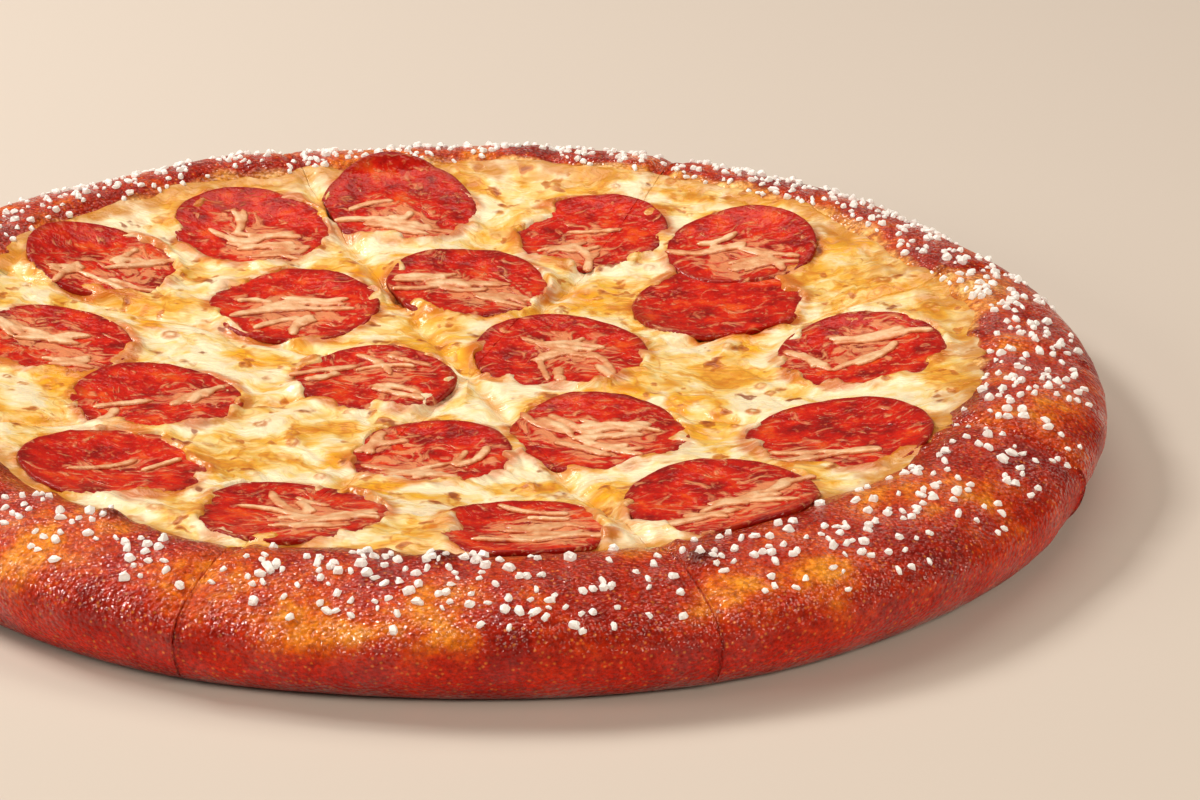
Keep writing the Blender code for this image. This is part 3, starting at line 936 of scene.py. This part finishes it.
# %% [markdown]
# The pepperoni
#
# Each is a thin slice of cured sausage. Its edge shrinks first, so it curls up and darkens, while the
# middle sags and wrinkles. It sinks into the cheese until about a third of its thickness stands out.
# A turned section gives the disc, noise makes it uneven, and the cut planes of the slices part it where
# the wheel went through.

# %% Bundles of shreds: (x, y, heading in degrees, count), places from the middle of the pepperoni
BUNDLES = {
    1: ((-8, -10, 35, 3), (10, 4, 40, 5), (8, -14, 0, 3)),
    2: ((3, -6, 5, 8), (-6, 6, 70, 2), (8, -12, 0, 4)),
    3: ((-6, -2, 20, 5), (0, -12, 60, 3), (8, 0, 5, 4)),
    4: ((2, -12, 0, 8), (-4, -6, 20, 3)),
    5: ((-8, 6, 140, 5), (0, 0, 30, 3), (8, -12, 5, 4)),
    6: ((-10, -8, 30, 2), (10, 2, 60, 4)),
    7: ((12, -2, 20, 1), (-2, 0, 10, 1)),
    8: ((0, 6, 130, 4), (8, -4, 10, 7), (2, -12, 0, 3)),
    9: ((-14, 2, 30, 2), (4, 8, 170, 3), (6, -8, 0, 3)),
    10: ((-10, 2, 15, 4), (2, -2, 10, 4), (8, -10, 150, 5)),
    11: ((0, 2, 160, 1), (-6, -10, 5, 3), (-2, -16, 80, 2)),
    12: ((2, 4, 5, 7), (-4, -14, 88, 1), (14, -10, 100, 2), (4, -12, 90, 1)),
    13: (),
    14: ((-4, 0, 10, 4), (0, -12, 5, 4), (8, -8, 120, 2)),
    15: ((-16, 0, 120, 2), (0, -2, 50, 3), (4, 10, 10, 4)),
    16: ((-12, -12, 20, 3), (4, -14, 0, 2)),
    17: ((-12, 4, 140, 4), (6, 2, 8, 6), (0, -10, 150, 4)),
    18: ((-4, -12, 5, 6), (-10, 8, 60, 3), (10, -4, 60, 2)),
    19: ((6, 4, 170, 4), (8, -4, 10, 6), (-4, -2, 0, 2)),
    20: ((-4, -14, 5, 3), (6, -4, 20, 4), (16, 6, 30, 3)),
}
print("shreds to lay:", sum(count for bundles in BUNDLES.values() for *_, count in bundles))

# %% Shape of a pepperoni
MEAT_THICKNESS = 1.9 * MM
MEAT_RINGS = 28


def meat_section(radius):
    """Half a disc with a round edge, from the axis below to the axis above."""
    soft = MEAT_THICKNESS / 2
    below = [(radius * k / 6, 0.0) for k in range(6)]
    edge = [
        (radius - soft + soft * math.sin(a), soft - soft * math.cos(a))
        for a in (math.pi * k / 8 for k in range(9))
    ]
    inner = radius - soft
    above = [(inner * (1 - k / MEAT_RINGS), MEAT_THICKNESS) for k in range(1, MEAT_RINGS + 1)]
    return below + edge + above


def turned(section, steps):
    """A section turned all the way round the Z axis."""
    bm = bmesh.new()
    line = [bm.verts.new((r, 0, z)) for r, z in section]
    edges = [bm.edges.new(pair) for pair in zip(line, line[1:])]
    bmesh.ops.spin(
        bm, geom=line + edges, axis=(0, 0, 1), cent=(0, 0, 0), angle=math.tau, steps=steps, use_merge=True
    )
    bmesh.ops.remove_doubles(bm, verts=bm.verts, dist=TINY)
    bmesh.ops.recalc_face_normals(bm, faces=bm.faces)
    return bm


print("a pepperoni of 50 mm has", len(meat_section(25 * MM)), "points in its section")

# %% How each pepperoni lies
MEAT_SUNK = 1.3 * MM  # how deep it lies in the cheese
STACKED = {14: 1.3 * MM}  # lies on its neighbour
# how each lies: (uphill direction, rise to its edge, direction of its curled edge, curl), degrees and mm
LIES = (
    (140, 0.8, 150, 3.0),
    (95, 0.6, 120, 1.2),
    (20, 0.3, 80, 1.0),
    (85, 1.2, 100, 1.6),
    (60, 0.3, 110, 1.2),
    (100, 0.4, 130, 1.0),
    (120, 0.2, 160, 0.8),
    (200, 0.3, 140, 0.9),
    (150, 0.5, 100, 0.8),
    (110, 0.5, 115, 1.3),
    (30, 0.6, 60, 1.0),
    (92, 1.8, 85, 1.4),
    (180, 0.3, 200, 1.0),
    (70, 0.8, 40, 1.4),
    (100, 0.5, 95, 1.3),
    (95, 0.7, 80, 1.5),
    (60, 0.3, 110, 0.9),
    (40, 0.3, 60, 1.2),
    (100, 0.5, 120, 1.1),
    (100, 0.7, 100, 1.2),
)


def meat_base(number, x, y):
    """Height of a pepperoni's underside at a real point."""
    px, py, half = DISCS[number - 1]
    uphill, rise, curled, curl = LIES[number - 1]
    out = min(math.hypot(x - px, y - py) / half, 1.1)
    direction = math.atan2(y - py, x - px)
    lifted = rise * out * math.cos(direction - math.radians(uphill))
    facing = max(math.cos(direction - math.radians(curled)), 0)
    lifted += curl * smoothstep((out - 0.45) / 0.6) * facing**1.5
    point = Vector((x, y, number * 0.01))
    sag = 0.5 * bumps(point, 12, 50) - 0.4 * smoothstep(1 - out)
    return ground(x, y) - MEAT_SUNK + STACKED.get(number, 0.0) + (lifted + sag) * MM


def veil_share(number, x, y):
    """How much melted cheese lies over a pepperoni at a point."""
    px, py, _ = DISCS[number - 1]
    share = 0.0
    for bx, by, _, count in BUNDLES[number]:
        away = math.hypot(x - px - bx * MM, y - py - by * MM)
        share += 0.26 * count * bell(away / (9 * MM))
    return min(share, 0.95)


print("most curled edge:", max(curl for *_, curl in LIES), "mm up")

# %% Cut and lay one pepperoni
MEAT_STEPS = 96
CUT_GAP = 0.08 * MM
ON_THE_CUT = 0.01 * MM  # points this near a cut plane count as on it


def uneven_disc(number):
    """A flat disc at a pepperoni's place, with an outline that isn't quite round."""
    px, py, half = DISCS[number - 1]
    bm = turned(meat_section(half), MEAT_STEPS)
    for vert in bm.verts:
        angle = math.atan2(vert.co.y, vert.co.x)
        around = Vector((math.cos(angle), math.sin(angle), number * 3.0))
        uneven = 1 + 0.04 * noise.noise(around * 1.2) + 0.015 * noise.noise(around * 4)
        vert.co.x = px + vert.co.x * uneven
        vert.co.y = py + vert.co.y * uneven
    return bm


def cut_out(bm, wedge):
    """Leaves what lies between the two cuts of a slice, and closes the cut faces."""
    for normal in wedge.outward:
        whole = [*bm.verts, *bm.edges, *bm.faces]
        cut = bmesh.ops.bisect_plane(
            bm, geom=whole, dist=ON_THE_CUT, plane_co=wedge.shift, plane_no=normal, clear_outer=True
        )
        edges = [g for g in cut["geom_cut"] if isinstance(g, bmesh.types.BMEdge)]
        if edges:
            bmesh.ops.contextual_create(bm, geom=edges)


def settle(bm, number):
    """Lets a disc down on the cheese, and marks its rim and the cheese that melted over it."""
    px, py, half = DISCS[number - 1]
    outness = bm.verts.layers.float.new("outness")
    veil = bm.verts.layers.float.new("veil")
    for vert in bm.verts:
        vert[outness] = math.hypot(vert.co.x - px, vert.co.y - py) / half
        vert[veil] = veil_share(number, vert.co.x, vert.co.y)
        point = Vector((vert.co.x, vert.co.y, number))
        wrinkled = 0.35 * (0.5 - abs(bumps(point, 6, number))) + 0.16 * bumps(point, 2.6, number)
        share = vert.co.z / MEAT_THICKNESS
        vert.co.z += meat_base(number, vert.co.x, vert.co.y) + wrinkled * MM * share


def make_meat(number, material):
    """The pieces of one pepperoni, one for each slice that the frame has it on."""
    made = []
    for index, wedge in enumerate(wedges(CUT_GAP), 1):
        node = f"pepperoni_{number:02d}_slice_{index}"
        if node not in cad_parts:
            continue
        bm = uneven_disc(number)
        cut_out(bm, wedge)
        settle(bm, number)
        made.append(add_piece(f"meat_{number:02d}_{index}", bm, material, [node]))
    return made


# %% [markdown]
# The finish of the pepperoni
#
# Cured pork with paprika is a deep translucent red, with specks of paler fat, a darker dried rim and
# a film of orange oil on top.

# %% Material: cured pepperoni
def cured_pepperoni():
    material, add, place = new_material("cured_pepperoni")
    grind = add("TexNoise", place, per_mm(8), 4, 0.6)
    red = add(
        "ValToRGB", grind, stops=((0.34, "860804"), (0.46, "B40F04"), (0.56, "CC1E06"), (0.68, "DE5014"))
    )
    fat = add("TexNoise", place, per_mm(1.7))
    colour = add("Mix", add("MapRange", fat, 0.60, 0.70, 0.0, 0.5), red, "E2764A", data_type="RGBA")
    outness = add("Attribute", attribute_name="outness").outputs["Fac"]
    out = add("Math", outness, add("MapRange", grind, 0.3, 0.7, -0.04, 0.04), operation="ADD")
    colour = add("Mix", add("MapRange", out, 0.86, 1.0, 0.0, 0.7), colour, "740A05", data_type="RGBA")
    _, drawn = melted_coordinates(add, place, 14, 1, 0.024, 0.35)
    shred = add("TexNoise", drawn, per_mm(2.6), 2, 0.6)
    veil = add("Math", add("Attribute", attribute_name="veil").outputs["Fac"], 2.1, operation="SUBTRACT")
    melted_on = add("Math", shred, 4.2, veil, operation="MULTIPLY_ADD")
    veiled = add("MapRange", melted_on, 0.35, 0.95, 0.0, 0.75)
    relief = add("Math", fat, add("TexNoise", place, per_mm(3.5)), operation="ADD")
    raised = add("MapRange", melted_on, 0.35, 0.95)
    relief = add("Math", raised, 0.8, relief, operation="MULTIPLY_ADD")
    bump = add("Bump", Height=relief, Strength=0.8, Distance=0.5 * MM)
    finish_shader(
        material,
        {
            "Base Color": add("Mix", veiled, colour, "E29A6A", data_type="RGBA"),
            "Normal": bump,
            "Roughness": OILY_ROUGHNESS,
            "IOR": FAT_IOR,
            "Specular IOR Level": 0.12,
            "Coat Weight": 0.3,
            "Coat Roughness": 0.05,
            "Coat Normal": bump,
        },
    )
    return material


# %% Lay the pepperoni
meat = cured_pepperoni()
meats = [piece for number in range(1, len(PEPPERONI) + 1) for piece in make_meat(number, meat)]
print("pepperoni:", len(meats), "pieces,", sum(len(m.data.polygons) for m in meats), "faces")

# %% [markdown]
# Shreds on the pepperoni
#
# Some cheese was scattered over the meat. It melted into flat strands that took up red oil, so they are
# salmon rather than ivory, and strands that touch have run together. Each is a ball drawn out along a
# short bent line; a remesh then joins those on one pepperoni, and a little smoothing melts them.

# %% One strand
STRAND_LENGTH = (10 * MM, 23 * MM)
STRAND_WIDTH = (2.4 * MM, 3.6 * MM)
STRAND_HEIGHT = (0.6 * MM, 1.0 * MM)
STRAND_VOXEL = 0.55 * MM
STRAND_SEED = 100
STRAND_STRAY = (3.5, 3.0)  # mm off the bundle's place, along X and Y
STRAND_TURN = 16  # degrees off the bundle's heading
STRAND_BEND = 0.7  # radians from end to end, either way


def strand_line(draw, number, bundle):
    """A bent line on one pepperoni, as a function of the share of its length."""
    px, py, half = DISCS[number - 1]
    bx, by, heading, _ = bundle
    cx = px + draw.gauss(bx, STRAND_STRAY[0]) * MM
    cy = py + draw.gauss(by, STRAND_STRAY[1]) * MM
    start = math.radians(draw.gauss(heading, STRAND_TURN))
    bend = draw.uniform(-STRAND_BEND, STRAND_BEND)
    length = draw.uniform(*STRAND_LENGTH)

    def point(share):
        turn = start + bend * share
        x = cx + length * share * math.cos(turn)
        y = cy + length * share * math.sin(turn)
        out = math.hypot(x - px, y - py) / (half * 1.04)
        return px + (x - px) / max(out, 1), py + (y - py) / max(out, 1)

    return point


def add_strand(bm, draw, number, bundle):
    """A ball drawn out along a bent line, flat on the pepperoni, with full ends."""
    line = strand_line(draw, number, bundle)
    width, tall = draw.uniform(*STRAND_WIDTH) / 2, draw.uniform(*STRAND_HEIGHT)
    ball = bmesh.ops.create_uvsphere(bm, u_segments=12, v_segments=22, radius=1)
    knots = draw.uniform(0, 50)
    for vert in ball["verts"]:
        share = vert.co.z / 2
        full = math.sqrt(max(1 - vert.co.z**2, 0.0))
        fat = math.sqrt(max(1 - abs(vert.co.z) ** 8, 0.0)) / full if full > 1e-6 else 0.0
        fat *= 1 + 0.35 * noise.noise(Vector((share * 6, knots, 0)))
        side, up = vert.co.x * fat * width, vert.co.y * fat
        x, y = line(share)
        ahead, behind = line(share + 0.02), line(share - 0.02)
        way = Vector((ahead[0] - behind[0], ahead[1] - behind[1])).normalized()
        x, y = x - way.y * side, y + way.x * side
        vert.co = (x, y, meat_base(number, x, y) + MEAT_THICKNESS + tall * (up * 0.8 + 0.25))


print("strands are", [round(v / MM) for v in STRAND_LENGTH], "mm long")


# %% The shreds on one pepperoni
def melt_together(piece):
    """Joins overlapping strands into one skin and softens it."""
    remesh = piece.modifiers.new("melt", "REMESH")
    remesh.mode = "VOXEL"
    remesh.voxel_size = STRAND_VOXEL
    bpy.context.view_layer.update()
    evaluated = piece.evaluated_get(bpy.context.evaluated_depsgraph_get())
    bm = bmesh.new()
    bm.from_mesh(evaluated.to_mesh())
    evaluated.to_mesh_clear()
    piece.modifiers.clear()
    every_axis = {"use_axis_x": True, "use_axis_y": True, "use_axis_z": True}
    bmesh.ops.smooth_vert(bm, verts=bm.verts, factor=0.5, **every_axis)
    return bm


def make_shreds(number, material):
    """The shreds on one pepperoni, each point marked with its height over the meat."""
    draw = random.Random(STRAND_SEED + number)
    bm = bmesh.new()
    for bundle in BUNDLES[number]:
        for _ in range(bundle[3]):
            add_strand(bm, draw, number, bundle)
    bmesh.ops.recalc_face_normals(bm, faces=bm.faces)
    piece = add_piece(f"shreds_{number:02d}", bm, material)
    bm = melt_together(piece)
    thickness = bm.verts.layers.float.new("thickness")
    for vert in bm.verts:
        over = vert.co.z - meat_base(number, vert.co.x, vert.co.y) - MEAT_THICKNESS
        vert[thickness] = max(over / STRAND_HEIGHT[1], 0.0)
    bm.to_mesh(piece.data)
    bm.free()
    piece.data.shade_smooth()
    return piece


# %% Material: oily melted shreds
def oily_shreds():
    material, add, place = new_material("oily_shreds")
    stain = add("MapRange", add("TexNoise", place, per_mm(4), 3, 0.6), 0.3, 0.7, -0.3, 0.3)
    deep = add("Math", add("Attribute", attribute_name="thickness").outputs["Fac"], stain, operation="ADD")
    salmon = add(
        "ValToRGB", deep, stops=((0.05, "B8401A"), (0.35, "D07A48"), (0.70, "E2A676"), (1.0, "EFC79C"))
    )
    bump = add("Bump", Height=add("TexNoise", place, per_mm(1.5)), Strength=0.6, Distance=0.4 * MM)
    finish_shader(
        material,
        {
            "Base Color": salmon,
            "Normal": bump,
            "Roughness": OILY_ROUGHNESS,
            "IOR": FAT_IOR,
            "Coat Weight": 0.4,
            "Coat Roughness": 0.12,
            "Coat Normal": bump,
        },
    )
    return material


# %% Scatter the shreds
oily = oily_shreds()
shreds = [make_shreds(number, oily) for number in BUNDLES if BUNDLES[number]]
print("shreds:", len(shreds), "pieces with", sum(len(s.data.polygons) for s in shreds), "faces")

# %% [markdown]
# The salt
#
# Pretzel salt is pressed into hard white chunks two to three millimetres long that don't melt in the
# oven. It is strewn by hand, in small groups. The largest grains stand where the solids have them, and
# the finer ones fall between. Each is a block with its edges bevelled and its corners pushed about.

# %% Where the grains fall
SALT_SEED = 7
SALT_SCATTERED = 480
SALT_LENGTH = (2.0 * MM, 3.3 * MM)
SALT_SUNK = 0.3
SALT_RADIUS = 162 * MM
SALT_SPREAD = 8.5 * MM
SALT_MARGIN = 3 * MM
SALT_CLUMPED = 0.4
SALT_CLUMP_REACH = 5 * MM
SALT_APART = 2.8 * MM
SALT_CLEAR_OF_CUT = 3.0 * MM
SALT_CLEAR_OF_MEAT = 2 * MM
FINE_SCATTERED = 620
FINE_LENGTH = (1.6 * MM, 2.8 * MM)
FINE_APART = 1.9 * MM
FINE_SPREAD = 9.5 * MM
FINE_INWARD = 9 * MM
FINE_CLEAR_OF_CUT = 1.2 * MM


def salt_density(angle):
    """The salt lies thicker on the far side."""
    return 0.8 + 0.18 * math.sin(angle + math.radians(20))


def strewn_radius(draw, angle, spread, inward):
    """The grains stand nearer the cheese on the far side."""
    return draw.gauss(SALT_RADIUS - inward * back_share(angle), spread)


def grain_distance(grain, other):
    """How far apart two grains are, measured along the rim."""
    turn = math.remainder(grain[1] - other[1], math.tau)
    return math.hypot(grain[0] - other[0], turn * RIM_RADIUS)


def scatter_salt(draw, count, lengths, apart, spread, inward, settled=()):
    """(nominal radius, angle, length, width share, turn) of each grain, clear of those settled before."""
    inner, outer = BORDER_RADIUS + SALT_MARGIN, RIM_RADIUS - SALT_MARGIN
    grains = []
    while len(grains) < count:
        angle = draw.uniform(0, math.tau)
        if draw.random() > salt_density(angle):
            continue
        radius = strewn_radius(draw, angle, spread, inward)
        if grains and draw.random() < SALT_CLUMPED:
            radius = grains[-1][0] + draw.uniform(-1, 1) * SALT_CLUMP_REACH
            angle = grains[-1][1] + draw.uniform(-1, 1) * SALT_CLUMP_REACH / RIM_RADIUS
        length = draw.uniform(*lengths)
        grain = (radius, angle, length, draw.uniform(0.5, 0.9), draw.uniform(0, math.tau))
        clear = all(grain_distance(grain, other) > apart for other in (*grains, *settled))
        if inner < radius < outer and clear:
            grains.append(grain)
    return grains


coarse = scatter_salt(random.Random(SALT_SEED), SALT_SCATTERED, SALT_LENGTH, SALT_APART, SALT_SPREAD, 0.0)
fine_draw = random.Random(SALT_SEED + 2)
fine = scatter_salt(fine_draw, FINE_SCATTERED, FINE_LENGTH, FINE_APART, FINE_SPREAD, FINE_INWARD, coarse)
print(len(coarse), "coarse grains and", len(fine), "fine ones")

# %% Shape of a grain
GRAIN_BEVEL = 0.24  # of its length
GRAIN_TILT = 0.4  # radians, either way
GRAIN_JOLT = 0.11  # of its length


def add_grain(bm, draw, point, normal, length, width_share, turn):
    """A block on the crust with bevelled edges, a narrower top and jolted corners."""
    width = length * width_share
    height = width * 0.85
    block = bmesh.ops.create_cube(bm, size=1)
    bevelled = bmesh.ops.bevel(
        bm,
        geom=block["verts"] + list(dict.fromkeys(e for v in block["verts"] for e in v.link_edges)),
        offset=GRAIN_BEVEL,
        offset_type="OFFSET",
        affect="EDGES",
        segments=1,
        profile=0.5,
        material=-1,
    )
    upright = normal.to_track_quat("Z", "X").to_matrix().to_4x4()
    tip = Matrix.Rotation(draw.uniform(-GRAIN_TILT, GRAIN_TILT), 4, "X")
    lean = Matrix.Rotation(draw.uniform(-GRAIN_TILT, GRAIN_TILT), 4, "Y")
    stand = Matrix.Translation(point) @ upright @ Matrix.Rotation(turn, 4, "Z") @ tip @ lean
    taper = draw.uniform(0.6, 0.95)
    for vert in bevelled["verts"]:
        narrow = taper if vert.co.z > 0 else 1.0
        jolt = Vector([draw.uniform(-GRAIN_JOLT, GRAIN_JOLT) for _ in range(3)])
        shaped = Vector((vert.co.x * narrow, vert.co.y * narrow, vert.co.z + 0.5 - SALT_SUNK)) + jolt
        vert.co = stand @ Vector((shaped.x * length, shaped.y * width, shaped.z * height))
        vert.co.z = min(vert.co.z, cad_high.z)


def crust_tree():
    """All the crusts in one tree, to drop grains on."""
    bm = bmesh.new()
    for crust in crusts:
        bm.from_mesh(crust.data)
    tree = BVHTree.FromBMesh(bm)
    bm.free()
    return tree


def strew(bm, draw, tree, grains, clear):
    """Drops each grain on the crust, but for those too near a cut or the meat. Returns how many lie."""
    count = 0
    for radius, angle, length, width_share, turn in grains:
        wedge = next(w for w in SLICES if w.holds(angle))
        x, y = wedge.place(radius, angle)
        point, normal, _, _ = tree.ray_cast(Vector((x, y, 0.1)), Vector((0, 0, -1)))
        if point is None or nearest_disc(x, y) < SALT_CLEAR_OF_MEAT or wedge.depth(x, y) < clear:
            continue
        add_grain(bm, draw, point, normal, length, width_share, turn)
        count += 1
    return count


# %% Material: pressed salt
SALT_IOR = 1.54


def pressed_salt():
    material, add, place = new_material("pressed_salt")
    grain = add("TexNoise", place, per_mm(1.0))
    finish_shader(
        material,
        {
            "Base Color": add("ValToRGB", grain, stops=((0.3, "F8F6F2"), (0.7, "FFFFFF"))),
            "Normal": add("Bump", Height=grain, Strength=0.5, Distance=0.2 * MM),
            "Roughness": 0.45,
            "IOR": SALT_IOR,
            "Subsurface Weight": 0.25,
            "Subsurface Radius": (1.0, 1.0, 1.0),
            "Subsurface Scale": 1.0 * MM,
        },
    )
    return material


# %% Strew the salt
draw = random.Random(SALT_SEED + 1)
tree = crust_tree()
salt_bm = bmesh.new()
strewn = strew(salt_bm, draw, tree, coarse, SALT_CLEAR_OF_CUT)
strewn += strew(salt_bm, draw, tree, fine, FINE_CLEAR_OF_CUT)
bmesh.ops.recalc_face_normals(salt_bm, faces=salt_bm.faces)
salt = add_piece("coarse_salt", salt_bm, pressed_salt())
salt.data.shade_flat()
print("salt:", strewn, "grains,", len(salt.data.polygons), "faces")
